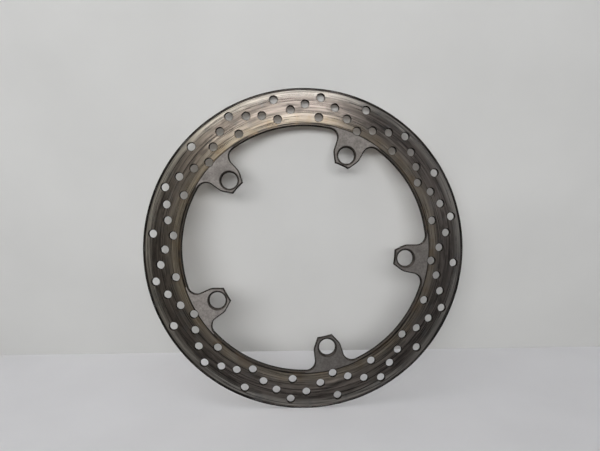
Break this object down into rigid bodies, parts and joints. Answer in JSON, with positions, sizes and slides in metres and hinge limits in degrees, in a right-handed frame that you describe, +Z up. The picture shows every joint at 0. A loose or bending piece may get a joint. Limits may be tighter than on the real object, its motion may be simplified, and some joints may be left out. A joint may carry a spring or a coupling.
{
  "type": "brake disc rotor",
  "caption": "Flat drilled brake disc: a ring with lugs pointing inwards, cut from one steel plate and bolted by the lugs to a motorcycle wheel.",
  "frame": {"origin": "centre of the disc, half way through the plate", "axes": "+Y along the wheel axis, away from the pictured face; +Z up; +X to the right on the pictured face"},
  "size_m": [0.32, 0.005, 0.32],
  "materials": {
    "disc_steel": "used bare stainless steel: pad tracks rubbed in rings, lugs dull grey, cut edges and chamfers dark"
  },
  "bodies": {
    "root": {"brake_disc": "disc_steel"}
  },
  "joints": []
}
